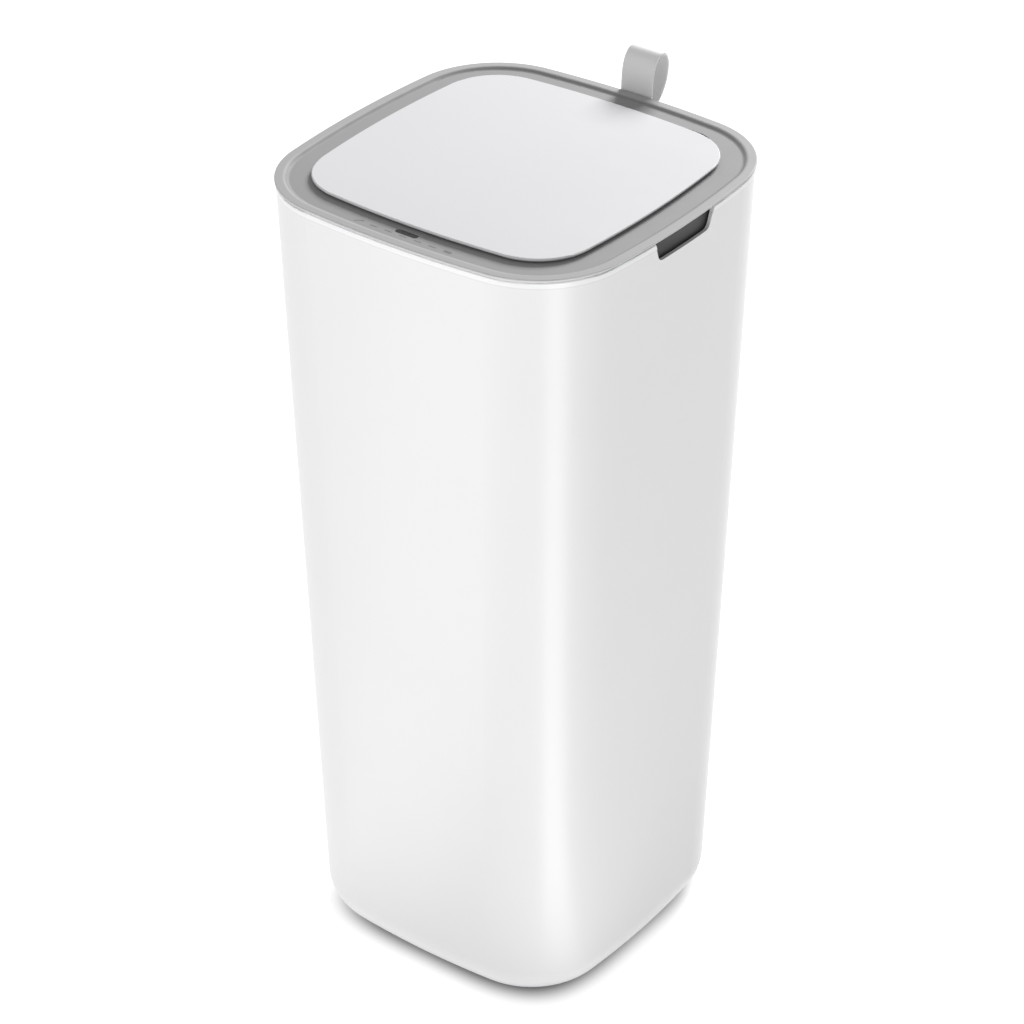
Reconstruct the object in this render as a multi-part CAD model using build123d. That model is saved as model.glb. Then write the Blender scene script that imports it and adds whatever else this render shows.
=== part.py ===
"""Touchless waste bin of about 30 litres: a tapered plastic body and a lift-off motorised head with a lid.

Millimetres. The origin is on the floor under the middle of the bin. +Z is up, the sensor side faces -Y,
the lid's hinge and the pull tab are at the back, +Y.
"""
from build123d import *
import os
from math import acos, cos, pi, radians, sin, sqrt, tan

# ---------------------------------------------------------------- plan shape
RIM_HALF = 140.0          # half the rim's width, in the middle of each side
RIM_CORNER = 69.2         # corner radius of the rim, seen from above
SIDE_ANGLE = 5.32         # half the angle that each bowed side turns through

# ---------------------------------------------------------------- body
RIM_TOP = 620.0
RIM_UNDER = 617.4         # the rim rests here on the body's top edge
BODY_BOTTOM = 2.0
BODY_HALF_LOW, BODY_HALF_TOP = 123.1, 139.1
BODY_CORNER_LOW, BODY_CORNER_TOP = 66.0, 68.3
BODY_WALL = 2.6
BASE_ROUND = 30.0
BEAD_HEIGHT, BEAD_PROUD = 4.4, 0.35
PAD_INSET = 54.0          # base pad's outline, inside the rim's

NOTCH_TOP_HALF, NOTCH_LOW_HALF = 34.0, 29.0
NOTCH_FLOOR = 602.4
NOTCH_ROUND = 6.0
TAB_NOTCH_HALF = 17.0
TAB_NOTCH_FLOOR = 594.0

# ---------------------------------------------------------------- head: rim cover and base
LIP_WIDTH = 6.5
LIP_OUTER_ROUND, LIP_INNER_ROUND = 0.9, 3.0
RIM_BEVEL = 1.3           # under the rim's outer edge
SLOPE_WIDTH, SLOPE_FOOT_ROUND = 3.1, 2.5           # the slope from the lip down to the deck
DECK_TOP, DECK_UNDER = 618.1, 616.1
RIM_WALL_INSET = 5.5      # outside of the rim cover's wall
THROAT_INSET = 36.0
WALL = 2.0
SKIRT_INSET, SKIRT_WALL, SKIRT_LOW = 4.8, 1.8, 596.0
COLLAR_WALL = 0.6
THROAT_LOW = 585.0

BOX_X, BOX_FRONT, BOX_BACK = 92.0, 84.0, 122.0     # compartment at the back of the head
BOX_LOW, BOX_TOP = 575.0, 605.0
COVER_TOP = 607.0
BAY_FRONT = 96.0                                   # slot in the deck for the hinge and the lid's back edge
BAY_BACK = 119.4                                   # its back edge follows the lid's bow
BAY_BOW_END = (72.0, 118.0)
BAY_CORNER = (79.5, 115.2)
POST_R, SCREW_R = 3.2, 1.4
SCREW_HEAD_R, SCREW_HEAD_H = 2.7, 1.4
POST_PLACES = [(sx * x, y) for x, y in ((55, -118), (101, -101), (118, 0), (101, 101)) for sx in (-1, 1)]
COVER_SCREWS = [(sx * 88.4, y) for sx in (-1, 1) for y in (88.0, 118.0)]

# ---------------------------------------------------------------- lid and hinge
LID_HALF, LID_CORNER = 114.8, 44.0
LID_TOP, LID_UNDER = 622.0, 619.2
LID_ROUND, LID_BEVEL = 0.9, 1.6                    # top edge; the bevel under it makes the edge look thin
FLANGE_INSET, FLANGE_WALL, FLANGE_LOW = 38.6, 2.0, 613.6
PANEL_TOP, PANEL_UNDER = 617.0, 615.0
HINGE_Y, HINGE_Z = 112.5, 616.0
SHAFT_R, SHAFT_HALF = 1.5, 74.0
BUSH_R, BUSH_X = 2.3, (66.0, 72.0)
HUB_R = 3.1
ARM_X = (44.0, 50.0)
ARM_HUB_R = LID_UNDER - HINGE_Z
FOOT_X, FOOT_FRONT = (41.0, 53.0), 74.0
LID_SCREW_X = 47.0
ARM_SCREWS_Y = (80.0, 92.0)
BOSS_PLACES = [(sx * x, y) for x, y in ((80, -80), (84, 0), (30, -86)) for sx in (-1, 1)]
FIT = 0.05                # radial clearance of every running fit

# ---------------------------------------------------------------- gear train
MODULE = 0.8
PRESSURE = radians(25)
ADDENDUM, DEDENDUM = 0.8, 1.1
BACKLASH = 0.12
LID_TEETH, SMALL_TEETH, LARGE_TEETH, MOTOR_TEETH = 24, 12, 24, 10
SECTOR_TEETH_BEFORE, SECTOR_TEETH_AFTER = 1, 6
DRIVE_ANGLE = 250.0       # from the hinge towards the reduction gear, in the Y-Z plane
MOTOR_ANGLE = 230.0       # from the reduction gear towards the motor
LARGE_X, SMALL_X, SECTOR_X = (52.0, 56.0), (56.0, 62.0), (57.0, 61.5)
PLATE_X = ((49.5, 51.0), (63.5, 65.0))
AXLE_R, MOTOR_SHAFT_R = 1.5, 1.0
MOTOR_R, MOTOR_X = 10.0, (24.5, 49.5)

# ---------------------------------------------------------------- battery compartment
CELL_R, CELL_LENGTH, NUB_R, NUB_LENGTH = 7.1, 49.4, 2.75, 1.1
CELL_ROWS_Y = (95.2, 110.8)
CELL_Z = 586.5
TRAY_X, TRAY_Y = (-90.0, 18.0), (86.4, 119.6)
DOOR_X, DOOR_Y, DOOR_Z = (-88.5, 16.5), (85.0, 121.0), (572.9, 574.8)
SWITCH_X, SWITCH_Y = 76.0, 100.0
SWITCH_SLOT_HALF, SWITCH_TRAVEL = 5.0, 4.4

# ---------------------------------------------------------------- boards and cables
BOARD_Z = 604.0
BOARD_POSTS = [(-119, 20), (-119, 72), (-16, -119), (16, -119)]
CABLE_Y, CABLE_Z = 90.0, 601.0

# ---------------------------------------------------------------- sensor, pull tab
WINDOW_Y, WINDOW_LENGTH, WINDOW_WIDTH = -120.4, 18.4, 5.0
MARK_Y, MARK_PITCH, MARK_THICK = -124.8, 12.3, 0.1
TAB_WIDTH, TAB_THICK = 26.5, 1.4
TAB_INNER_Y, TAB_OUTER_Y = 135.95, 137.5           # the strap's two ends, one nearly flat on the other
CLAMP_THICK = 0.9
TAB_SCREW_X, TAB_SCREW_Z = 8.0, 599.8

YZ = Plane(origin=(0, 0, 0), x_dir=(0, 1, 0), z_dir=(1, 0, 0))


# ================================================================ helpers
def bowed_square(half, corner):
    """A square face with bowed sides and tangent round corners, all sides turning by the same angle."""
    turn = radians(SIDE_ANGLE)
    k = cos(turn) - sin(turn)
    bow = (half - k * corner) / (1 - k)
    side_x, side_y = half - bow + bow * cos(turn), bow * sin(turn)
    middle = (bow - corner) * sin(turn) + corner / sqrt(2)
    side = ThreePointArc((side_x, -side_y), (half, 0), (side_x, side_y))
    round_corner = ThreePointArc((side_x, side_y), (middle, middle), (side_y, side_x))
    edges = [edge.rotate(Axis.Z, 90 * quarter) for quarter in range(4) for edge in (side, round_corner)]
    return Face(Wire(edges))


def raised(face, z0, z1):
    return extrude(Pos(0, 0, z0) * face, z1 - z0, dir=(0, 0, 1))


def plate(inset, z0, z1):
    """A slab with the rim's outline pulled in by inset."""
    return raised(bowed_square(RIM_HALF - inset, RIM_CORNER - inset), z0, z1)


def ring(outer_inset, inner_inset, z0, z1):
    return plate(outer_inset, z0, z1) - plate(inner_inset, z0 - 1, z1 + 1)


def block(x, y, z):
    """A box from its lowest and highest x, y and z."""
    size = [high - low for low, high in (x, y, z)]
    return Pos(x[0], y[0], z[0]) * Box(*size, align=(Align.MIN, Align.MIN, Align.MIN))


def rod_z(radius, x, y, z0, z1):
    return Pos(x, y, z0) * Cylinder(radius, z1 - z0, align=(Align.CENTER, Align.CENTER, Align.MIN))


def rod_x(radius, x0, x1, y, z):
    return Pos(x0, y, z) * Rot(0, 90, 0) * rod_z(radius, 0, 0, 0, x1 - x0)


def rod_y(radius, x, y0, y1, z):
    return Pos(x, y0, z) * Rot(-90, 0, 0) * rod_z(radius, 0, 0, 0, y1 - y0)


def top_edges(shape):
    return shape.edges().group_by(Axis.Z)[-1]


def low_edges(shape):
    return shape.edges().group_by(Axis.Z)[0]


def polar(y, z, radius, angle):
    return y + radius * cos(radians(angle)), z + radius * sin(radians(angle))


def group(shapes):
    return Compound(children=list(shapes))


def pitch_radius(teeth):
    return MODULE * teeth / 2


def tooth_outline(teeth, centre_angle):
    """One involute tooth as (radius, angle) pairs, up one flank and down the other."""
    pitch, base = pitch_radius(teeth), pitch_radius(teeth) * cos(PRESSURE)
    tip, root = pitch + ADDENDUM * MODULE, pitch - DEDENDUM * MODULE
    half_at_pitch = (pi * MODULE / 2 - BACKLASH) / 2 / pitch

    def involute(angle):
        return tan(angle) - angle

    def half_angle(radius):
        if radius <= base:
            return half_at_pitch + involute(PRESSURE)
        return half_at_pitch + involute(PRESSURE) - involute(acos(base / radius))

    start = max(root, base)
    steps = [start + (tip - start) * i / 4 for i in range(5)]
    radii = ([root] if root < base else []) + steps
    flank = [(radius, half_angle(radius)) for radius in radii]
    middle = radians(centre_angle)
    return [(r, middle - a) for r, a in flank] + [(r, middle + a) for r, a in reversed(flank)]


def gear(teeth, centre, first_angle, x, bore, count=None):
    """A spur gear about an axis along X; with a count, only that many teeth on a fan of a disc."""
    pitch_angle = 360 / teeth
    outline = []
    for i in range(count or teeth):
        outline += tooth_outline(teeth, first_angle + i * pitch_angle)
    points = [(centre[0] + r * cos(a), centre[1] + r * sin(a)) for r, a in outline]
    if count:
        points.append(centre)
    face = Plane(YZ.location * Pos(0, 0, x[0])) * Face(Wire.make_polygon(points))
    solid = extrude(face, x[1] - x[0], dir=(1, 0, 0))
    if count:
        solid = solid + rod_x(ARM_HUB_R - 0.3, x[0], x[1], *centre)
    return solid - rod_x(bore, x[0] - 1, x[1] + 1, *centre)


def screw(x, y, z0, z1):
    """A pan-head screw driven upwards: head below z0, shank up to z1."""
    head = rod_z(SCREW_HEAD_R, x, y, z0 - SCREW_HEAD_H, z0)
    head = fillet(low_edges(head), 0.6)
    slot = block((x - 1.7, x + 1.7), (y - 0.3, y + 0.3), (z0 - SCREW_HEAD_H - 1, z0 - SCREW_HEAD_H + 0.7))
    cross = slot + Pos(x, y, 0) * Rot(0, 0, 90) * Pos(-x, -y, 0) * slot
    return head + rod_z(SCREW_R, x, y, z0, z1) - cross


def strap(points, radii, width, thickness):
    """A flat strap, width along X, whose middle line runs through points (y, z) with the corners rounded."""
    line = FilletPolyline(*[(0, y, z) for y, z in points], radius=radii)
    start = Plane(origin=line @ 0, x_dir=(1, 0, 0), z_dir=line % 0)
    return sweep(start * Rectangle(width, thickness), path=line)


def cable(points, radii, radius):
    line = FilletPolyline(*points, radius=radii)
    return sweep(Plane(origin=line @ 0, z_dir=line % 0) * Circle(radius), path=line)


# ================================================================ body
def tapered(z0, z1, inset, base_round):
    """The body's straight taper between two heights, pulled in by inset, its bottom edge rounded."""
    def section(z):
        t = z / RIM_UNDER
        half = BODY_HALF_LOW + (BODY_HALF_TOP - BODY_HALF_LOW) * t
        corner = BODY_CORNER_LOW + (BODY_CORNER_TOP - BODY_CORNER_LOW) * t
        return Pos(0, 0, z) * bowed_square(half - inset, corner - inset)

    solid = loft([section(z0), section(z1)], ruled=True)
    return fillet(low_edges(solid), base_round)


def notch(top_half, low_half, floor, corner, reach):
    """A notch cut down from the body's top edge, through the wall on the +X side."""
    points = [(-top_half, RIM_UNDER), (-low_half, floor), (low_half, floor), (top_half, RIM_UNDER)]
    above = RIM_UNDER + 5
    face = Face(Wire.make_polygon([(top_half, above), (-top_half, above)] + points))
    face = fillet(face.vertices().sort_by(Axis.Y)[:2], corner)
    return extrude(Plane(YZ.location * Pos(0, 0, reach[0])) * face, reach[1] - reach[0], dir=(1, 0, 0))


def body_shell():
    outer = tapered(BODY_BOTTOM, RIM_UNDER, 0, BASE_ROUND)
    bead_inset = RIM_HALF - BODY_HALF_TOP - BEAD_PROUD
    bead = plate(bead_inset, RIM_UNDER - BEAD_HEIGHT, RIM_UNDER)
    bead = fillet(top_edges(bead), 1.1)
    inner = tapered(BODY_BOTTOM + BODY_WALL, RIM_UNDER, BODY_WALL, BASE_ROUND - BODY_WALL)
    top = plate(bead_inset, RIM_UNDER - BEAD_HEIGHT, RIM_UNDER + 1)
    shell = (outer - top) + bead - inner
    finger = notch(NOTCH_TOP_HALF, NOTCH_LOW_HALF, NOTCH_FLOOR, NOTCH_ROUND, (120, 150))
    tab = notch(TAB_NOTCH_HALF, TAB_NOTCH_HALF, TAB_NOTCH_FLOOR, 4, (120, 150))
    return shell - finger - Rot(0, 0, 180) * finger - Rot(0, 0, 90) * tab


def base_pad():
    pad = raised(bowed_square(RIM_HALF - PAD_INSET, 34), 0, BODY_BOTTOM)
    return fillet(low_edges(pad), 0.5)


# ================================================================ head
def hinge_bay(z0, z1):
    """The slot in the deck that the hinge stands in, as wide as the lid's back edge needs when it swings."""
    right = [BAY_BOW_END, BAY_CORNER, (BAY_CORNER[0], BAY_FRONT)]
    left = [(-x, y) for x, y in reversed(right)]
    bow = ThreePointArc(left[-1], (0, BAY_BACK), right[0])
    return raised(Face(Wire([bow] + list(Polyline(*right, *left).edges()))), z0, z1)


def recess():
    """What the sunken deck removes: a flat floor with sloped sides."""
    slope = SLOPE_WIDTH / (RIM_TOP - DECK_TOP)
    sections = []
    for z in (DECK_TOP, RIM_TOP + 1):
        inset = LIP_WIDTH + (RIM_TOP - z) * slope
        sections.append(Pos(0, 0, z) * bowed_square(RIM_HALF - inset, RIM_CORNER - inset))
    return fillet(low_edges(loft(sections, ruled=True)), SLOPE_FOOT_ROUND)


def window_shape(grow, z0, z1):
    pill = Pos(0, WINDOW_Y) * SlotOverall(WINDOW_LENGTH + 2 * grow, WINDOW_WIDTH + 2 * grow)
    return raised(pill, z0, z1)


def rim_cover():
    lip = chamfer(low_edges(plate(0, RIM_UNDER, RIM_TOP)), RIM_BEVEL) - recess()
    lip = fillet(lip.faces().sort_by(Axis.Z)[-1].inner_wires()[0].edges(), LIP_INNER_ROUND)
    lip = fillet(lip.faces().sort_by(Axis.Z)[-1].outer_wire().edges(), LIP_OUTER_ROUND)
    cover = lip + plate(RIM_WALL_INSET, DECK_UNDER, RIM_UNDER)
    cover = cover - plate(THROAT_INSET, DECK_UNDER - 5, RIM_TOP)
    cover = cover - hinge_bay(DECK_UNDER - 1, RIM_TOP - 1)
    for x, y in POST_PLACES:
        cover = cover + rod_z(POST_R, x, y, SKIRT_LOW + WALL, DECK_UNDER)
        cover = cover - rod_z(SCREW_R, x, y, SKIRT_LOW, SKIRT_LOW + 14)
    return cover - window_shape(0, DECK_UNDER - 1, RIM_TOP)


def head_base():
    skirt = ring(SKIRT_INSET, SKIRT_INSET + SKIRT_WALL, SKIRT_LOW, DECK_UNDER)
    collar = ring(SKIRT_INSET, SKIRT_INSET + COLLAR_WALL, DECK_UNDER, RIM_UNDER)
    floor = ring(SKIRT_INSET + SKIRT_WALL, THROAT_INSET - WALL, SKIRT_LOW, SKIRT_LOW + WALL)
    throat = ring(THROAT_INSET - WALL, THROAT_INSET, THROAT_LOW, DECK_UNDER)
    base = skirt + collar + floor + throat
    for x, y in POST_PLACES:
        base = base - rod_z(SCREW_R, x, y, SKIRT_LOW - 1, SKIRT_LOW + WALL + 1)
    for x, y in BOARD_POSTS:
        base = base + rod_z(2.0, x, y, SKIRT_LOW + WALL, BOARD_Z)
    # the compartment's hollow replaces the throat wall and the floor behind it
    outside = block((-BOX_X, BOX_X), (BOX_FRONT, BOX_BACK), (BOX_LOW, BOX_TOP))
    hollow = block((-BOX_X + WALL, BOX_X - WALL), (BOX_FRONT + WALL, BOX_BACK - WALL),
                   (BOX_LOW + WALL, BOX_TOP + 20))
    bay = block((-BOX_X, BOX_X), (BOX_FRONT, BOX_BACK), (BOX_TOP, DECK_UNDER + 1))
    base = base - bay + outside - hollow
    door = block((TRAY_X[0] + 1.2, TRAY_X[1] - 1.2), (TRAY_Y[0] + 1.2, TRAY_Y[1] - 1.2),
                 (BOX_LOW - 1, BOX_LOW + WALL + 1))
    slot = block((SWITCH_X - SWITCH_SLOT_HALF, SWITCH_X + SWITCH_SLOT_HALF), (SWITCH_Y - 1.7, SWITCH_Y + 1.7),
                 (BOX_LOW - 1, BOX_LOW + WALL + 1))
    base = base - door - slot + door_rail(-1) + door_rail(1)
    base = base - rod_x(2.0, -BOX_X - 6, -BOX_X + WALL + 1, CABLE_Y, CABLE_Z)
    for x in (-TAB_SCREW_X, TAB_SCREW_X):
        base = base - rod_y(SCREW_R, x, 125, 140, TAB_SCREW_Z)
    return base


def door_rail(side):
    """An L-shaped rail under the compartment, along one end of the battery door."""
    wall_x = DOOR_X[0] - 0.2 if side < 0 else DOOR_X[1] + 0.2
    low, high = sorted((wall_x, wall_x + side * 1.6))
    upright = block((low, high), (BOX_FRONT, BOX_BACK), (DOOR_Z[0] - 1.4, BOX_LOW))
    low, high = sorted((wall_x, wall_x - side * 2.0))
    shelf = block((low, high), (BOX_FRONT, BOX_BACK), (DOOR_Z[0] - 1.4, DOOR_Z[0] - 0.2))
    return upright + shelf


def mechanism_cover():
    """The compartment's lid, with a slot for the gears and two pedestals for the hinge bushes."""
    cover = block((-BOX_X, BOX_X), (BOX_FRONT, BOX_BACK), (BOX_TOP, COVER_TOP))
    cover = cover - block((PLATE_X[0][0], PLATE_X[1][1]), (95.5, BOX_BACK - WALL),
                          (BOX_TOP - 1, COVER_TOP + 1))
    for side in (-1, 1):
        x0, x1 = sorted((side * (BUSH_X[0] - 1), side * (BUSH_X[1] + 1)))
        stem = block((x0, x1), (HINGE_Y - HUB_R, HINGE_Y + HUB_R), (COVER_TOP, HINGE_Z))
        hub = rod_x(HUB_R, x0, x1, HINGE_Y, HINGE_Z)
        x2, x3 = sorted((side * BUSH_X[0], side * BUSH_X[1]))
        cover = cover + (stem + hub) - rod_x(BUSH_R, x2, x3, HINGE_Y, HINGE_Z)
        cover = cover - rod_x(SHAFT_R + 0.3, x0 - 1, x1 + 1, HINGE_Y, HINGE_Z)
    for x, y in COVER_SCREWS:
        cover = cover - rod_z(SCREW_R, x, y, BOX_TOP - 1, COVER_TOP + 1)
    return cover


def hinge_bush(side):
    x0, x1 = sorted((side * BUSH_X[0], side * BUSH_X[1]))
    return rod_x(BUSH_R, x0, x1, HINGE_Y, HINGE_Z) - rod_x(SHAFT_R + FIT, x0 - 1, x1 + 1, HINGE_Y, HINGE_Z)


def sensor_window():
    lens = window_shape(0, DECK_UNDER, DECK_TOP - 0.1)
    lens = fillet(top_edges(lens), 0.3)
    return lens + window_shape(1.2, DECK_UNDER - 1.2, DECK_UNDER)


def indicator_marks():
    """Seven small generic marks in a row on the deck, five dashes between a chevron and a pair of bars."""
    low, high = DECK_TOP, DECK_TOP + MARK_THICK
    marks = [block((i * MARK_PITCH - 3, i * MARK_PITCH + 3), (MARK_Y - 0.3, MARK_Y + 0.3), (low, high))
             for i in (-2, -1, 0, 1, 2)]
    left = -3 * MARK_PITCH
    corners = [(-3.4, -1.4), (-2.6, -1.4), (1.2, 1.2), (3.4, 1.2), (3.4, 1.8), (1.0, 1.8)]
    chevron = Wire.make_polygon([(left + x, MARK_Y + y) for x, y in corners])
    marks.append(raised(Face(chevron), low, high))
    right = 3 * MARK_PITCH
    for y in (MARK_Y - 0.9, MARK_Y + 0.5):
        marks.append(block((right - 3, right + 3), (y, y + 0.8), (low, high)))
    return group(marks)


def sensor_board():
    board = block((-22, 22), (-126, -112), (BOARD_Z, BOARD_Z + 1.6))
    chip = block((-4, 4), (-117, -113.5), (BOARD_Z + 1.6, BOARD_Z + 2.8))
    plug = block((-21, -15), (-124, -115), (BOARD_Z + 1.6, BOARD_Z + 5))
    return board + chip + plug


def diode(x, radius):
    z0 = BOARD_Z + 1.6
    top = DECK_UNDER - 1.5 - radius
    can = rod_z(radius, x, WINDOW_Y, z0, top) + rod_z(radius + 0.4, x, WINDOW_Y, z0, z0 + 1)
    return can + Pos(x, WINDOW_Y, top) * Sphere(radius)


def main_board():
    board = block((-129, -109), (12, 80), (BOARD_Z, BOARD_Z + 1.6))
    chips = [((-126, -120), (20, 26)), ((-124, -114), (34, 44)),
             ((-127, -121), (52, 56)), ((-118, -112), (60, 70))]
    for x, y in chips:
        board = board + block(x, y, (BOARD_Z + 1.6, BOARD_Z + 4))
    board = board + rod_z(3.0, -122, 66, BOARD_Z + 1.6, BOARD_Z + 8)
    return board + block((-113, -109.5), (13, 19), (BOARD_Z + 1.6, BOARD_Z + 6))


def sensor_cable():
    start, end = (-22, -119, BOARD_Z + 3.5), (-111.2, 12.5, BOARD_Z + 4)
    return cable([start, (-60, -111, 602), (-108.5, -109, 601), (-110, -40, 601), end], [22, 42, 22], 1.1)


def motor_cable():
    route = [(-112, 80.7, BOARD_Z + 0.8), (-112, CABLE_Y, CABLE_Z), (-88, CABLE_Y, CABLE_Z),
             (24, CABLE_Y + 5, CABLE_Z)]
    return cable(route, [6, 60], 1.0)


def motor_centre():
    middle = reduction_centre()
    return polar(*middle, pitch_radius(LARGE_TEETH) + pitch_radius(MOTOR_TEETH), MOTOR_ANGLE)


def reduction_centre():
    return polar(HINGE_Y, HINGE_Z, pitch_radius(LID_TEETH) + pitch_radius(SMALL_TEETH), DRIVE_ANGLE)


def motor():
    y, z = motor_centre()
    can = fillet(rod_x(MOTOR_R, *MOTOR_X, y, z).edges(), 0.8)
    can = can - block((MOTOR_X[0] - 1, MOTOR_X[1] + 1), (y - 12, y + 12), (z + 8.2, z + 12))
    boss = rod_x(3.0, MOTOR_X[1], MOTOR_X[1] + 1.4, y, z)
    tabs = [block((MOTOR_X[0] - 2.4, MOTOR_X[0]), (y + side * 5 - 1.2, y + side * 5 + 1.2), (z + 2, z + 2.5))
            for side in (-1, 1)]
    return can + boss + tabs[0] + tabs[1] - rod_x(MOTOR_SHAFT_R + FIT, MOTOR_X[1] - 6, MOTOR_X[1] + 3, y, z)


def motor_shaft():
    return rod_x(MOTOR_SHAFT_R, MOTOR_X[1] - 5, LARGE_X[1] + 1.5, *motor_centre())


def motor_pinion():
    facing = MOTOR_ANGLE + 180
    return gear(MOTOR_TEETH, motor_centre(), facing + 180 / MOTOR_TEETH, LARGE_X, MOTOR_SHAFT_R)


def reduction_gear():
    centre = reduction_centre()
    large = gear(LARGE_TEETH, centre, MOTOR_ANGLE, LARGE_X, AXLE_R + FIT)
    facing = DRIVE_ANGLE + 180
    small = gear(SMALL_TEETH, centre, facing + 180 / SMALL_TEETH, SMALL_X, AXLE_R + FIT)
    return large + small


def gear_axle():
    return rod_x(AXLE_R, PLATE_X[0][0], PLATE_X[1][1], *reduction_centre())


def gear_bracket():
    """Two upright plates joined by a web; they carry the axle and the motor."""
    y, z = motor_centre()
    low = z - MOTOR_R + 4
    bracket = block((PLATE_X[0][0], PLATE_X[1][1]), (92, 118), (low - 1.5, low))
    for x in PLATE_X:
        bracket = bracket + block(x, (92, 118), (low, BOX_TOP - 0.3))
        bracket = bracket - rod_x(AXLE_R, x[0], x[1], *reduction_centre())
    bracket = bracket - rod_x(3.1, PLATE_X[0][0], PLATE_X[0][1], y, z)
    for y0 in (93, 113):
        bracket = bracket + block((PLATE_X[0][0], PLATE_X[1][1]), (y0, y0 + 3), (BOX_LOW + WALL, low - 1.5))
    return bracket


def battery_tray():
    tray = block(TRAY_X, TRAY_Y, (BOX_LOW + WALL, 596))
    inside = block((TRAY_X[0] + 1.2, TRAY_X[1] - 1.2), (TRAY_Y[0] + 1.2, TRAY_Y[1] - 1.2), (BOX_LOW, 594.8))
    middle = sum(CELL_ROWS_Y) / 2
    rib = block((TRAY_X[0] + 9, TRAY_X[1] - 9), (middle - 0.4, middle + 0.4), (584, 594.8))
    return tray - inside + rib


def cell_spans():
    """Each row's two cells as (low x, direction of the nub); the rows run opposite ways."""
    first = TRAY_X[0] + 1.2 + 0.4
    last = TRAY_X[1] - 1.2 - 0.4
    whole = CELL_LENGTH + NUB_LENGTH
    return [(CELL_ROWS_Y[0], last - 2 * whole - 0.2, 1), (CELL_ROWS_Y[0], last - whole - 0.1, 1),
            (CELL_ROWS_Y[1], first + 0.1, -1), (CELL_ROWS_Y[1], first + whole + 0.2, -1)]


def cell(index):
    y, x, way = cell_spans()[index]
    can_low = x if way > 0 else x + NUB_LENGTH
    can = fillet(rod_x(CELL_R, can_low, can_low + CELL_LENGTH, y, CELL_Z).edges(), 0.5)
    nub_low = x + CELL_LENGTH if way > 0 else x
    return can + rod_x(NUB_R, nub_low, nub_low + NUB_LENGTH, y, CELL_Z)


def battery_contacts():
    ends = []
    low, high = TRAY_X[0] + 1.2, TRAY_X[1] - 1.2
    ends.append(block((low, low + 0.4), (CELL_ROWS_Y[0] - 6, CELL_ROWS_Y[1] + 6), (581, 592)))
    for y in CELL_ROWS_Y:
        ends.append(block((high - 0.4, high), (y - 6, y + 6), (581, 592)))
    return group(ends)


def battery_springs():
    """Two coil springs, one at the flat end of each row."""
    low, high = TRAY_X[0] + 1.6, TRAY_X[1] - 1.6
    coils = []
    for y, x, way in ((CELL_ROWS_Y[0], low, 1), (CELL_ROWS_Y[1], high, -1)):
        whole = CELL_LENGTH + NUB_LENGTH
        room = high - low - 2 * whole - 0.3
        wire, height = 0.35, room - 0.8
        path = Helix(pitch=height / 3, height=height, radius=3.0)
        coil = sweep(Plane(origin=path @ 0, z_dir=path % 0) * Circle(wire), path=path)
        coils.append(Pos(x + way * 0.4, y, CELL_Z) * Rot(0, 90 * way, 0) * coil)
    return group(coils)


def battery_cover():
    door = block(DOOR_X, DOOR_Y, DOOR_Z)
    for i in range(5):
        x = -50 + 8 * i
        door = door + block((x, x + 3), (92, 104), (DOOR_Z[0] - 0.8, DOOR_Z[0]))
    return door


def power_switch():
    x, y = SWITCH_X, SWITCH_Y
    low = BOX_LOW + WALL
    case = block((x - 9, x + 9), (y - 4, y + 4), (low, low + 6))
    case = case - block((x - SWITCH_SLOT_HALF, x + SWITCH_SLOT_HALF), (y - 1.7, y + 1.7), (low - 1, low + 3))
    for side in (-5, 0, 5):
        case = case + block((x + side - 0.5, x + side + 0.5), (y - 0.2, y + 0.2), (low + 6, low + 9))
    return case


def switch_slider():
    x, y = SWITCH_X - SWITCH_TRAVEL / 2, SWITCH_Y
    low = BOX_LOW + WALL
    return block((x - 2.4, x + 2.4), (y - 1.5, y + 1.5), (BOX_LOW - 1.8, low + 2.8))


def head_screws():
    return group(screw(x, y, SKIRT_LOW, SKIRT_LOW + 13) for x, y in POST_PLACES)


def cover_screws():
    """Four screws through the compartment's cover; they are driven from above."""
    heads = COVER_TOP + SCREW_HEAD_H
    return group(rod_z(SCREW_R, x, y, BOX_TOP, COVER_TOP) + rod_z(SCREW_HEAD_R, x, y, COVER_TOP, heads)
                 for x, y in COVER_SCREWS)


def lid_bumpers():
    places = [(sx * 78, -101) for sx in (-1, 1)] + [(sx * 107, 10) for sx in (-1, 1)]
    return group(fillet(top_edges(rod_z(2.6, x, y, DECK_TOP, LID_UNDER - 0.1)), 0.6) for x, y in places)


# ================================================================ pull tab
def tab_route():
    """Middle line of the strap, (y, z), from the inner end round the loop to the outer end."""
    return [(TAB_INNER_Y, 595.0), (TAB_INNER_Y, 607.0), (141.4, 613.0), (141.6, 632.0), (149.5, 651.5),
            (163.0, 646.0), (160.0, 626.0), (146.0, 611.5), (TAB_OUTER_Y, 606.0), (TAB_OUTER_Y, 595.0)]


def pull_tab():
    tab = strap(tab_route(), [6, 6, 14, 9, 9, 14, 12, 5], TAB_WIDTH, TAB_THICK)
    for x in (-TAB_SCREW_X, TAB_SCREW_X):
        tab = tab - rod_y(SCREW_R, x, 130, 140, TAB_SCREW_Z)
    return tab


def tab_clamp():
    low = TAB_OUTER_Y + TAB_THICK / 2
    clamp = block((-12, 12), (low, low + CLAMP_THICK), (596.0, 603.1))
    for x in (-TAB_SCREW_X, TAB_SCREW_X):
        clamp = clamp - rod_y(SCREW_R, x, 130, 140, TAB_SCREW_Z)
    return clamp


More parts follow.
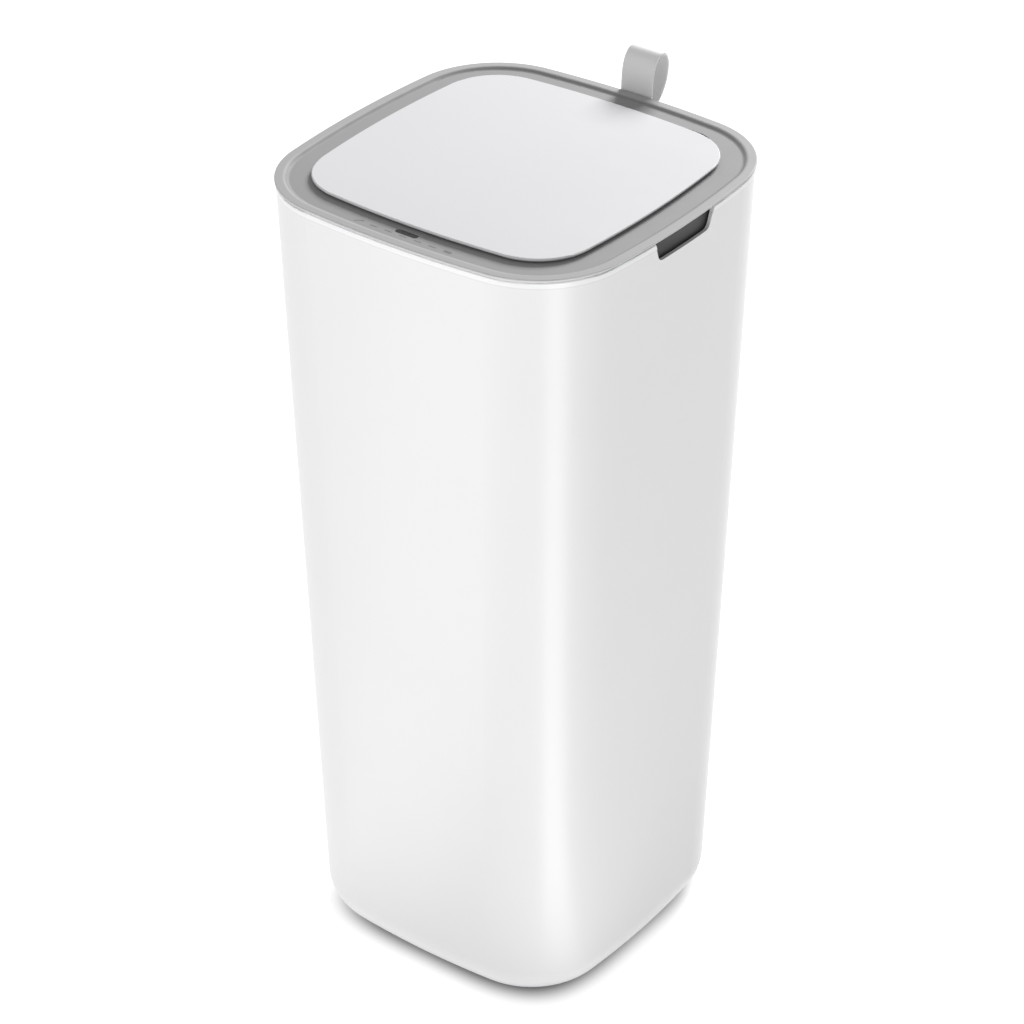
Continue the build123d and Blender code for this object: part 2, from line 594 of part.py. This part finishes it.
def tab_screws():
    seat = TAB_OUTER_Y + TAB_THICK / 2 + CLAMP_THICK
    screws = []
    for x in (-TAB_SCREW_X, TAB_SCREW_X):
        head = rod_y(2.4, x, seat, seat + 0.8, TAB_SCREW_Z)
        head = fillet(head.edges().sort_by(Axis.Y)[-1:], 0.3)
        screws.append(rod_y(SCREW_R, x, 129, seat, TAB_SCREW_Z) + head)
    return group(screws)


# ================================================================ lid
def arm_screws(side):
    return [(side * LID_SCREW_X, y) for y in ARM_SCREWS_Y]


def foot_shape(side, grow):
    x0, x1 = sorted((side * (FOOT_X[0] - grow), side * (FOOT_X[1] + grow)))
    return block((x0, x1), (FOOT_FRONT - grow, HINGE_Y - 1), (PANEL_TOP, LID_UNDER))


def lid_cover():
    top = raised(bowed_square(LID_HALF, LID_CORNER), LID_UNDER, LID_TOP)
    top = chamfer(low_edges(fillet(top_edges(top), LID_ROUND)), LID_BEVEL)
    flange = ring(FLANGE_INSET, FLANGE_INSET + FLANGE_WALL, FLANGE_LOW, LID_UNDER)
    for side in (-1, 1):
        flange = flange - foot_shape(side, 0.1)
    cover = top + flange
    for x, y in BOSS_PLACES:
        cover = cover + rod_z(POST_R, x, y, PANEL_TOP, LID_UNDER)
    for x, y in BOSS_PLACES + arm_screws(-1) + arm_screws(1):
        cover = cover - rod_z(SCREW_R, x, y, PANEL_TOP - 1, LID_UNDER + 1.4)
    return cover


def lid_inner_panel():
    panel = plate(FLANGE_INSET + FLANGE_WALL + 0.2, PANEL_UNDER, PANEL_TOP)
    for x, y in BOSS_PLACES + arm_screws(-1) + arm_screws(1):
        panel = panel - rod_z(SCREW_R, x, y, PANEL_UNDER - 1, PANEL_TOP + 1)
    return panel


def hinge_arm(side):
    x0, x1 = sorted((side * ARM_X[0], side * ARM_X[1]))
    arm = rod_x(ARM_HUB_R, x0, x1, HINGE_Y, HINGE_Z) + foot_shape(side, 0)
    rib = block((x0, x1), (HINGE_Y - 9, HINGE_Y), (HINGE_Z, PANEL_TOP))
    arm = arm + rib - rod_x(SHAFT_R, x0 - 1, x1 + 1, HINGE_Y, HINGE_Z)
    for x, y in arm_screws(side):
        arm = arm - rod_z(SCREW_R, x, y, PANEL_TOP - 1, LID_UNDER + 1)
    return arm


def hinge_shaft():
    return rod_x(SHAFT_R, -SHAFT_HALF, SHAFT_HALF, HINGE_Y, HINGE_Z)


def lid_gear():
    count = SECTOR_TEETH_BEFORE + 1 + SECTOR_TEETH_AFTER
    first = DRIVE_ANGLE - SECTOR_TEETH_BEFORE * 360 / LID_TEETH
    return gear(LID_TEETH, (HINGE_Y, HINGE_Z), first, SECTOR_X, SHAFT_R, count)


def lid_screws():
    places = BOSS_PLACES + arm_screws(-1) + arm_screws(1)
    return group(screw(x, y, PANEL_UNDER, LID_UNDER + 1.3) for x, y in places)


# ================================================================ the assembly
nodes = {
    "body_shell": body_shell(),
    "base_pad": base_pad(),
    "rim_cover": rim_cover(),
    "head_base": head_base(),
    "mechanism_cover": mechanism_cover(),
    "hinge_bush_left": hinge_bush(-1),
    "hinge_bush_right": hinge_bush(1),
    "sensor_window": sensor_window(),
    "indicator_marks": indicator_marks(),
    "sensor_board": sensor_board(),
    "ir_emitter": diode(-5, 1.5),
    "ir_receiver": diode(5, 1.5),
    "status_light": diode(0, 1.0),
    "main_board": main_board(),
    "sensor_cable": sensor_cable(),
    "motor_cable": motor_cable(),
    "motor": motor(),
    "motor_shaft": motor_shaft(),
    "motor_pinion": motor_pinion(),
    "reduction_gear": reduction_gear(),
    "gear_axle": gear_axle(),
    "gear_bracket": gear_bracket(),
    "battery_tray": battery_tray(),
    "battery_contacts": battery_contacts(),
    "battery_springs": battery_springs(),
    "battery_cover": battery_cover(),
    "power_switch": power_switch(),
    "switch_slider": switch_slider(),
    "head_screws": head_screws(),
    "cover_screws": cover_screws(),
    "lid_bumpers": lid_bumpers(),
    "pull_tab": pull_tab(),
    "tab_clamp": tab_clamp(),
    "tab_screws": tab_screws(),
    "lid_cover": lid_cover(),
    "lid_inner_panel": lid_inner_panel(),
    "hinge_arm_left": hinge_arm(-1),
    "hinge_arm_right": hinge_arm(1),
    "hinge_shaft": hinge_shaft(),
    "lid_gear": lid_gear(),
    "lid_screws": lid_screws(),
}
for index in range(4):
    nodes[f"battery_{index + 1}"] = cell(index)

os.makedirs("parts", exist_ok=True)
for name, shape in nodes.items():
    export_step(shape, f"parts/{name}.step")
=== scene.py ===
import math

import bpy
from mathutils import Matrix, Vector


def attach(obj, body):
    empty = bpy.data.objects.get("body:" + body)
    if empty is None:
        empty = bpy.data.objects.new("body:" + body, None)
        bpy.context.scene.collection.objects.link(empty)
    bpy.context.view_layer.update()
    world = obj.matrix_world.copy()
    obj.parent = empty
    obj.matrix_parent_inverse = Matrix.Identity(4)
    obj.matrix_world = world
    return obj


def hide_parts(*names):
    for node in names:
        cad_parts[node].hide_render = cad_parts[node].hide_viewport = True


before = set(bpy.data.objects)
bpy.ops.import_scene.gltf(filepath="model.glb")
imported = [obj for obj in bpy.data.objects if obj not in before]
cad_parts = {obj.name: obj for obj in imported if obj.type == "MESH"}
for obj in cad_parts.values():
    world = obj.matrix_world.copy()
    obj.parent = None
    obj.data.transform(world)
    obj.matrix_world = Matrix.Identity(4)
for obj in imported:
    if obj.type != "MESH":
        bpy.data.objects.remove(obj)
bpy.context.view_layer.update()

MM = 0.001

# ---- camera, found from the outlines of the rim and the body
AZIMUTH, ELEVATION, ROLL = 36.72, 33.14, 0.04     # degrees
DISTANCE = 2.5282                                 # metres from the point it turns round
PIVOT_HEIGHT = 0.3
PAN, TILT = 0.0764, 0.789                         # degrees off that point
LENS, SENSOR = 122.14, 36.0                       # millimetres

# ---- light: a pale sky, softboxes, and a white floor that glows more where the body's sides reflect it
SKY = 0.4
# name, place in metres, width and height in metres, watts
SOFTBOXES = [("back_softbox", (-0.5, 3.0, 2.4), (1.4, 1.4), 160.0),
             ("front_softbox", (-0.2, -3.0, 0.7), (1.6, 1.2), 25.0)]
SOFTBOX_TARGET = (0, 0, 0.35)                     # the middle of the bin
FLOOR_REACH = 30                                  # metres from the middle to each side
FLOOR_ALBEDO, FLOOR_GLOW = 0.3, 0.85
# azimuth in degrees, and the glow added there
GLOW_SECTORS = [(-48, 0.0), (-36, 0.7), (-16, 0.7), (-4, 0.0),
                (42, 0.0), (52, 2.4), (62, 2.4), (72, 0.0)]
GLOW_NEAR, GLOW_FAR = 0.12, 0.26                  # metres from the middle over which the sectors brighten
SHADE_INSIDE, SHADE_OUTSIDE = 0.100, 0.124        # metres; the glow stops under the body's rounded base, so the floor there shows its real shade, and this mask paints the outline of that contact shadow


# ================================================================ camera and stage
def make_camera():
    a, e = math.radians(AZIMUTH), math.radians(ELEVATION)
    back = Vector((math.sin(a) * math.cos(e), -math.cos(a) * math.cos(e), math.sin(e)))
    right = Vector((math.cos(a), math.sin(a), 0))
    up = back.cross(right)
    camera = bpy.data.objects.new("camera", bpy.data.cameras.new("camera"))
    camera.location = Vector((0, 0, PIVOT_HEIGHT)) + back * DISTANCE
    axes = Matrix((right, up, back)).transposed()
    turn = (Matrix.Rotation(math.radians(PAN), 3, "Y") @ Matrix.Rotation(math.radians(TILT), 3, "X")
            @ Matrix.Rotation(math.radians(ROLL), 3, "Z"))
    camera.matrix_world = Matrix.Translation(camera.location) @ (axes @ turn).to_4x4()
    camera.data.lens, camera.data.sensor_width = LENS, SENSOR
    camera.data.clip_end = 100
    bpy.context.scene.collection.objects.link(camera)
    bpy.context.scene.camera = camera


def softbox(name, place, size, power):
    light = bpy.data.lights.new(name, "AREA")
    light.shape, light.size, light.size_y = "RECTANGLE", *size
    light.energy = power
    lamp = bpy.data.objects.new(name, light)
    lamp.location = place
    lamp.rotation_euler = (Vector(SOFTBOX_TARGET) - Vector(place)).to_track_quat("-Z", "Y").to_euler()
    bpy.context.scene.collection.objects.link(lamp)


def make_lights():
    world = bpy.data.worlds.new("studio")
    bpy.context.scene.world = world
    world.use_nodes = True
    world.node_tree.nodes["Background"].inputs["Color"].default_value = (1, 1, 1, 1)
    world.node_tree.nodes["Background"].inputs["Strength"].default_value = SKY
    for box in SOFTBOXES:
        softbox(*box)


def make_floor():
    mesh = bpy.data.meshes.new("floor")
    corners = [(sx * FLOOR_REACH, sy * FLOOR_REACH, 0) for sx, sy in ((-1, -1), (1, -1), (1, 1), (-1, 1))]
    mesh.from_pydata(corners, [], [(0, 1, 2, 3)])
    floor = bpy.data.objects.new("floor", mesh)
    bpy.context.scene.collection.objects.link(floor)
    floor.data.materials.append(floor_material())


def maths(nodes, links, operation, first, second=None):
    """A Math node; each input is a number or another node's output."""
    node = nodes.new("ShaderNodeMath")
    node.operation = operation
    for socket, value in zip(node.inputs, (first, second)):
        if isinstance(value, (int, float)):
            socket.default_value = value
        elif value:
            links.new(value, socket)
    return node.outputs["Value"]


def smooth_step(nodes, links, value, start, end):
    """0 up to start, 1 from end on."""
    span = nodes.new("ShaderNodeMapRange")
    span.interpolation_type = "SMOOTHSTEP"
    span.inputs["From Min"].default_value, span.inputs["From Max"].default_value = start, end
    links.new(value, span.inputs["Value"])
    return span.outputs["Result"]


def colour_ramp(nodes, links, value, greys):
    """Greys by value, as (position, grey) pairs."""
    ramp = nodes.new("ShaderNodeValToRGB")
    stops = ramp.color_ramp.elements
    for index, (position, grey) in enumerate(greys):
        stop = stops[index] if index < 2 else stops.new(1.0)
        stop.position = position
        stop.color = (grey, grey, grey, 1)
    links.new(value, ramp.inputs["Fac"])
    return ramp.outputs["Color"]


def floor_material():
    """White, glowing outside the body's footprint, and more so in GLOW_SECTORS."""
    material, nodes, links, shader = new_material("floor")
    shader.inputs["Base Color"].default_value = (FLOOR_ALBEDO, FLOOR_ALBEDO, FLOOR_ALBEDO, 1)
    shader.inputs["Roughness"].default_value = 0.9
    shader.inputs["Specular IOR Level"].default_value = 0.1
    shader.inputs["Emission Color"].default_value = (1, 1, 1, 1)

    place = nodes.new("ShaderNodeTexCoord").outputs["Object"]
    split = nodes.new("ShaderNodeSeparateXYZ")
    links.new(place, split.inputs["Vector"])
    # a distance from the middle that is the same all round a rounded square
    powers = [maths(nodes, links, "POWER", maths(nodes, links, "ABSOLUTE", split.outputs[axis]), 4)
              for axis in "XY"]
    reach = maths(nodes, links, "POWER", maths(nodes, links, "ADD", *powers), 0.25)
    # painted contact shadow outline: no glow inside the body's footprint
    outside = smooth_step(nodes, links, reach, SHADE_INSIDE, SHADE_OUTSIDE)

    turn = nodes.new("ShaderNodeTexGradient")
    turn.gradient_type = "RADIAL"
    links.new(place, turn.inputs["Vector"])
    brightest = max(glow for _, glow in GLOW_SECTORS)
    sector = colour_ramp(nodes, links, turn.outputs["Fac"],
                         [(azimuth / 360 + 0.25, glow / brightest) for azimuth, glow in GLOW_SECTORS])
    near = smooth_step(nodes, links, reach, GLOW_NEAR, GLOW_FAR)
    growth = maths(nodes, links, "MULTIPLY", near, brightest)
    sectors = maths(nodes, links, "MULTIPLY", sector, growth)
    glow = maths(nodes, links, "MULTIPLY", maths(nodes, links, "ADD", sectors, FLOOR_GLOW), outside)
    links.new(glow, shader.inputs["Emission Strength"])
    return material


# ================================================================ materials
RIM_HEIGHTS = (0.6182, 0.6198)                    # metres; the deck, and the lip above it
RIM_PAINTED_SHADES = [(0.0, 0.80), (0.35, 0.68), (0.65, 0.68), (1.0, 1.0)]    # deck and slope darkened as painted shade in the recess, lip at full tone
EDGE_PAINTED_LIGHT = (0.13, 0.13, 0.13, 1)                 # painted light added to the colour of the rim's outward-facing outer edge
EDGE_OUTWARD = (0.02, 0.06)                       # place times normal, metres, over which it sets in
BEAD_HEIGHTS = (0.6118, 0.6142)                   # metres; the body below the bead, and the bead
BEAD_PAINTED_LIGHT_AND_SHADE = [(0.0, 0.91), (0.35, 0.84), (0.55, 0.84), (0.75, 1.0)]   # body, painted shade in the crease, painted highlight on the bead
TONE_SCALE, POLISH_SCALE = 9, 60                  # noise scales of moulded plastic
METAL_DARK, METAL_LIGHT = 0.85, 1.08              # a metal's darkest and lightest tone over its colour
FINE_BUMP = 0.00001                               # metres


def new_material(name):
    material = bpy.data.materials.new(name)
    material.use_nodes = True
    nodes, links = material.node_tree.nodes, material.node_tree.links
    return material, nodes, links, nodes["Principled BSDF"]


def noise(nodes, links, scale, detail=2.0, stretch=None):
    """A noise texture in metres: scale is about one over the size of its blobs."""
    place = nodes.new("ShaderNodeTexCoord")
    texture = nodes.new("ShaderNodeTexNoise")
    texture.inputs["Scale"].default_value = scale
    texture.inputs["Detail"].default_value = detail
    source = place.outputs["Object"]
    if stretch:
        mapping = nodes.new("ShaderNodeMapping")
        mapping.inputs["Scale"].default_value = stretch
        links.new(source, mapping.inputs["Vector"])
        source = mapping.outputs["Vector"]
    links.new(source, texture.inputs["Vector"])
    return texture.outputs["Fac"]


def spread(nodes, links, value, low, high):
    """Turns a 0 to 1 texture into the range low to high."""
    span = nodes.new("ShaderNodeMapRange")
    span.inputs["From Min"].default_value, span.inputs["From Max"].default_value = 0.3, 0.7
    span.inputs["To Min"].default_value, span.inputs["To Max"].default_value = low, high
    links.new(value, span.inputs["Value"])
    return span.outputs["Result"]


def tint(nodes, links, value, dark, light):
    mix = nodes.new("ShaderNodeMix")
    mix.data_type = "RGBA"
    mix.inputs["A"].default_value = (*dark, 1)
    mix.inputs["B"].default_value = (*light, 1)
    links.new(value, mix.inputs["Factor"])
    return mix.outputs["Result"]


def bump(nodes, links, shader, height, depth):
    """Raises the surface by a texture, to a depth in metres."""
    node = nodes.new("ShaderNodeBump")
    node.inputs["Strength"].default_value = 1.0
    node.inputs["Distance"].default_value = depth
    links.new(height, node.inputs["Height"])
    links.new(node.outputs["Normal"], shader.inputs["Normal"])


def moulded(name, colour, rough, grain=(1600, FINE_BUMP), drift=0.012, specular=0.5, coat=0.0,
            rough_drift=0.04):
    """Injection-moulded plastic: a slow drift of tone, a fine grain (scale, depth) and patchy polish."""
    material, nodes, links, shader = new_material(name)
    slow = spread(nodes, links, noise(nodes, links, TONE_SCALE, 3), 0, 1)
    dark = [max(c - drift, 0) for c in colour]
    light = [min(c + drift, 1) for c in colour]
    links.new(tint(nodes, links, slow, dark, light), shader.inputs["Base Color"])
    patches = noise(nodes, links, POLISH_SCALE, 4)
    polish = spread(nodes, links, patches, rough - rough_drift, rough + rough_drift)
    links.new(polish, shader.inputs["Roughness"])
    shader.inputs["Specular IOR Level"].default_value = specular
    shader.inputs["Coat Weight"].default_value = coat
    bump(nodes, links, shader, noise(nodes, links, grain[0], 2), grain[1])
    return material


def shade_by_height(material, heights, shades):
    """Multiplies the colour by greys along the piece's height, from the first height to the second."""
    nodes, links = material.node_tree.nodes, material.node_tree.links
    shader = nodes["Principled BSDF"]
    plain = shader.inputs["Base Color"].links[0].from_socket
    split = nodes.new("ShaderNodeSeparateXYZ")
    links.new(nodes.new("ShaderNodeTexCoord").outputs["Object"], split.inputs["Vector"])
    rise = nodes.new("ShaderNodeMapRange")
    rise.inputs["From Min"].default_value, rise.inputs["From Max"].default_value = heights
    links.new(split.outputs["Z"], rise.inputs["Value"])
    shaded = nodes.new("ShaderNodeMix")
    shaded.data_type, shaded.blend_type = "RGBA", "MULTIPLY"
    shaded.inputs["Factor"].default_value = 1.0
    links.new(plain, shaded.inputs["A"])
    links.new(colour_ramp(nodes, links, rise.outputs["Result"], shades), shaded.inputs["B"])
    links.new(shaded.outputs["Result"], shader.inputs["Base Color"])


def body_plastic():
    """White, with a painted highlight that makes the bead under the rim brighter, and a painted shade line
    in the crease below the bead.
    """
    material = moulded("body_plastic", (0.75, 0.75, 0.76), 0.3, (900, 0.000002), 0.004, 0.7,
                       rough_drift=0.012)
    # painted highlight on the bead and painted shade in the crease below it
    shade_by_height(material, BEAD_HEIGHTS, BEAD_PAINTED_LIGHT_AND_SHADE)
    return material


def rim_plastic():
    """Grey, with painted shade on the recessed deck and darker painted shade on the slope between deck and
    lip, and painted light on the outer edge.
    """
    material = moulded("rim_plastic", (0.43, 0.43, 0.435), 0.6, (1300, 0.00001), 0.008, 0.2)
    nodes, links = material.node_tree.nodes, material.node_tree.links
    shader = nodes["Principled BSDF"]
    plain = shader.inputs["Base Color"].links[0].from_socket
    # painted shade: the deck and the slope up to the lip are darkened by height
    shade_by_height(material, RIM_HEIGHTS, RIM_PAINTED_SHADES)
    # painted light: the outward-facing outer edge of the rim is made lighter
    place, normal = nodes.new("ShaderNodeSeparateXYZ"), nodes.new("ShaderNodeSeparateXYZ")
    coordinates = nodes.new("ShaderNodeTexCoord")
    links.new(coordinates.outputs["Object"], place.inputs["Vector"])
    links.new(coordinates.outputs["Normal"], normal.inputs["Vector"])
    products = [maths(nodes, links, "MULTIPLY", place.outputs[axis], normal.outputs[axis]) for axis in "XY"]
    outward = maths(nodes, links, "ADD", *products)
    painted_edge_light = nodes.new("ShaderNodeMix")
    painted_edge_light.data_type, painted_edge_light.blend_type = "RGBA", "ADD"
    painted_edge_light.inputs["Factor"].default_value = 1.0
    links.new(plain, painted_edge_light.inputs["A"])
    painted_edge_light.inputs["B"].default_value = EDGE_PAINTED_LIGHT
    edge = nodes.new("ShaderNodeMix")
    edge.data_type = "RGBA"
    links.new(smooth_step(nodes, links, outward, *EDGE_OUTWARD), edge.inputs["Factor"])
    links.new(shader.inputs["Base Color"].links[0].from_socket, edge.inputs["A"])
    links.new(painted_edge_light.outputs["Result"], edge.inputs["B"])
    links.new(edge.outputs["Result"], shader.inputs["Base Color"])
    return material


def metal(name, colour, rough, brushed=(1, 1, 1)):
    material, nodes, links, shader = new_material(name)
    streaks = noise(nodes, links, 900, 3, brushed)
    dark = [c * METAL_DARK for c in colour]
    light = [min(c * METAL_LIGHT, 1) for c in colour]
    tone = spread(nodes, links, streaks, 0, 1)
    links.new(tint(nodes, links, tone, dark, light), shader.inputs["Base Color"])
    links.new(spread(nodes, links, streaks, rough - 0.06, rough + 0.08), shader.inputs["Roughness"])
    shader.inputs["Metallic"].default_value = 1.0
    bump(nodes, links, shader, streaks, FINE_BUMP)
    return material


def silicone(name, colour):
    """Soft matt silicone with a dusty sheen."""
    material = moulded(name, colour, 0.55, (2200, 0.00001), 0.015, specular=0.3)
    shader = material.node_tree.nodes["Principled BSDF"]
    shader.inputs["Sheen Weight"].default_value = 0.25
    shader.inputs["Sheen Roughness"].default_value = 0.5
    return material


def cell_sleeve(name):
    """A battery's glossy dark blue sleeve."""
    material, nodes, links, shader = new_material(name)
    fine = noise(nodes, links, 300, 3)
    links.new(tint(nodes, links, spread(nodes, links, fine, 0, 1), (0.05, 0.09, 0.2), (0.07, 0.12, 0.25)),
              shader.inputs["Base Color"])
    shader.inputs["Roughness"].default_value = 0.25
    bump(nodes, links, shader, fine, FINE_BUMP)
    return material


def dress(material, *names):
    for name in names:
        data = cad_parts[name].data
        data.materials.clear()
        data.materials.append(material)


def dress_all():
    dress(body_plastic(), "body_shell")
    dress(moulded("lid_plastic", (0.72, 0.72, 0.735), 0.6, (1300, 0.000012), 0.006, 0.22),
          "lid_cover", "lid_inner_panel")
    dress(rim_plastic(), "rim_cover")
    dress(moulded("dark_plastic", (0.035, 0.035, 0.037), 0.5, (1100, 0.00002), 0.006, 0.4),
          "head_base", "mechanism_cover", "battery_tray", "battery_cover", "gear_bracket", "hinge_arm_left",
          "hinge_arm_right")
    dress(moulded("rubber", (0.03, 0.03, 0.03), 0.8, (1500, 0.00003), 0.006, 0.2), "base_pad", "lid_bumpers")
    dress(moulded("lens_plastic", (0.012, 0.012, 0.014), 0.12, (500, 0.000002), 0.003, 0.6, 0.5),
          "sensor_window")
    dress(moulded("mark_ink", (0.19, 0.19, 0.195), 0.5, (2000, 0.000005), 0.01), "indicator_marks")
    dress(moulded("board_mask", (0.015, 0.10, 0.045), 0.3, (900, 0.00001), 0.008),
          "sensor_board", "main_board")
    dress(moulded("clear_diode", (0.6, 0.62, 0.66), 0.15, (900, 0.000003)), "ir_emitter", "status_light")
    dress(moulded("dark_diode", (0.02, 0.015, 0.025), 0.15, (900, 0.000003), 0.004), "ir_receiver")
    dress(moulded("cable_sheath", (0.02, 0.02, 0.02), 0.5, (1800, 0.00001), 0.004),
          "sensor_cable", "motor_cable")
    dress(moulded("switch_plastic", (0.02, 0.02, 0.021), 0.4, (1500, 0.00001), 0.004),
          "power_switch", "switch_slider")
    dress(moulded("acetal", (0.68, 0.67, 0.62), 0.4, (900, 0.00001), 0.01), "reduction_gear", "lid_gear")
    dress(metal("motor_can", (0.55, 0.55, 0.56), 0.35, (0.05, 1, 1)), "motor")
    dress(metal("ground_steel", (0.6, 0.6, 0.61), 0.25, (0.05, 1, 1)),
          "hinge_shaft", "gear_axle", "motor_shaft", "tab_clamp")
    dress(metal("zinc", (0.62, 0.62, 0.63), 0.35), "head_screws", "cover_screws", "lid_screws", "tab_screws")
    dress(metal("nickel", (0.66, 0.64, 0.58), 0.25), "battery_contacts", "battery_springs")
    dress(metal("brass", (0.65, 0.48, 0.22), 0.35), "hinge_bush_left", "hinge_bush_right", "motor_pinion")
    dress(cell_sleeve("cell_sleeve"), "battery_1", "battery_2", "battery_3", "battery_4")


# ================================================================ pull tab
# middle line of the strap as (y, z) in millimetres, from its inner end, round the loop, to its outer end
TAB_LINE = [(135.95, 595.0), (135.95, 604.5), (138.6, 609.8), (141.0, 615.0), (141.6, 624.0), (142.3, 634.0),
            (145.6, 643.5), (151.5, 648.4), (157.6, 647.2), (161.0, 640.5), (160.4, 631.0), (156.8, 622.0),
            (151.0, 614.6), (143.6, 609.4), (138.5, 604.4), (137.5, 600.0), (137.5, 595.0)]
TAB_WIDTH, TAB_THICK, TAB_EDGE = 26.5, 1.4, 0.35


def smooth_line(points, steps):
    """Points along a Catmull-Rom curve through the given ones."""
    ends = [2 * points[0] - points[1]] + points + [2 * points[-1] - points[-2]]
    line = []
    for a, b, c, d in zip(ends, ends[1:], ends[2:], ends[3:]):
        for i in range(steps):
            t = i / steps
            line.append(0.5 * (2 * b + (c - a) * t + (2 * a - 5 * b + 4 * c - d) * t ** 2
                               + (3 * b - a - 3 * c + d) * t ** 3))
    return line + [points[-1]]


def strap_section(width, thick, edge, arc_steps=4):
    """A flat section with round edges, as (across, out) pairs."""
    section = []
    for sx, sy, start in ((1, 1, 0), (-1, 1, 90), (-1, -1, 180), (1, -1, 270)):
        for i in range(arc_steps + 1):
            a = math.radians(start + 90 * i / arc_steps)
            section.append((sx * (width / 2 - edge) + edge * math.cos(a),
                            sy * (thick / 2 - edge) + edge * math.sin(a)))
    return section


def mesh_object(name, verts, faces, material):
    mesh = bpy.data.meshes.new(name)
    mesh.from_pydata([tuple(v) for v in verts], [], faces)
    mesh.validate()
    for face in mesh.polygons:
        face.use_smooth = True
    thing = bpy.data.objects.new(name, mesh)
    bpy.context.scene.collection.objects.link(thing)
    thing.data.materials.append(material)
    return thing


def make_pull_tab():
    line = smooth_line([Vector((0, y, z)) * MM for y, z in TAB_LINE], 6)
    section = strap_section(TAB_WIDTH * MM, TAB_THICK * MM, TAB_EDGE * MM)
    across = Vector((1, 0, 0))
    verts, faces, n = [], [], len(section)
    for i, point in enumerate(line):
        along = (line[min(i + 1, len(line) - 1)] - line[max(i - 1, 0)]).normalized()
        out = along.cross(across)
        verts += [point + across * x + out * y for x, y in section]
    for i in range(len(line) - 1):
        for j in range(n):
            k = (j + 1) % n
            faces.append((i * n + j, i * n + k, (i + 1) * n + k, (i + 1) * n + j))
    faces.append(tuple(range(n - 1, -1, -1)))
    faces.append(tuple(range((len(line) - 1) * n, len(line) * n)))
    tab = mesh_object("pull_tab_strap", verts, faces, silicone("tab_silicone", (0.79, 0.79, 0.795)))
    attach(tab, "head")
    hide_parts("pull_tab")


# ================================================================ the scene
make_camera()
make_lights()
make_floor()
dress_all()
make_pull_tab()
bpy.context.scene.view_settings.view_transform = "Standard"
